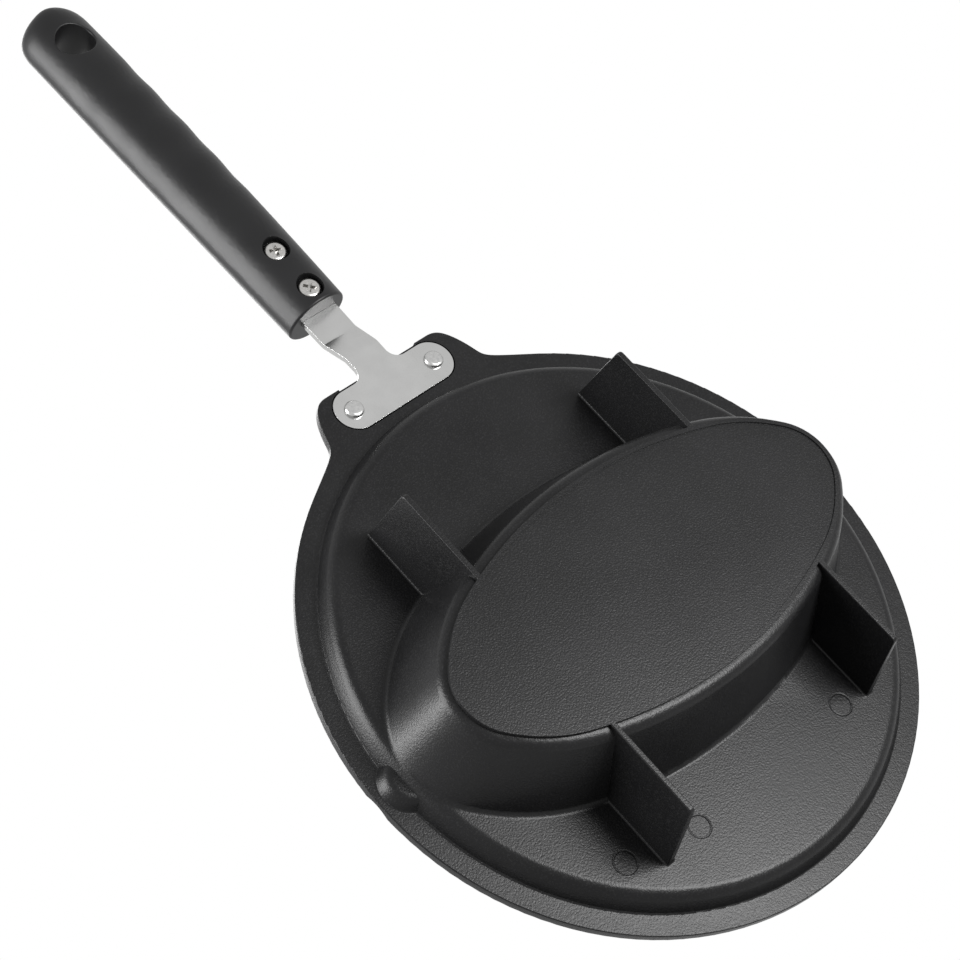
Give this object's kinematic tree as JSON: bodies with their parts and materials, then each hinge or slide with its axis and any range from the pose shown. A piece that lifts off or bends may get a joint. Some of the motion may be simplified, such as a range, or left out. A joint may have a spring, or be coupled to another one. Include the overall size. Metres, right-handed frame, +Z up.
{
  "type": "omelette pan",
  "caption": "Cast frying pan for folded omelettes: a shallow round dish with a deep oval well, pouring lips, finned feet and a riveted handle with a hanging hole.",
  "frame": {"origin": "centre of the flat oval base that the pan stands on", "axes": "+Z up as the pan is used, -Y along the handle, X along the long axis of the oval well"},
  "size_m": [0.21, 0.403, 0.0565],
  "materials": {
    "nonstick_coating": "cast aluminium under a satin black non-stick coating with a fine sandblast grain",
    "stainless_sheet": "satin pressed stainless sheet",
    "rivet_aluminium": "plain aluminium, domed and slightly dulled",
    "handle_plastic": "smooth satin black moulded plastic",
    "screw_steel": "bright zinc-plated steel",
    "insert_brass": "turned brass"
  },
  "bodies": {
    "root": {"pan_body": "nonstick_coating", "handle_bracket": "stainless_sheet", "pan_rivets": "rivet_aluminium", "handle_grip": "handle_plastic", "handle_screws": "screw_steel", "handle_inserts": "insert_brass"}
  },
  "joints": []
}
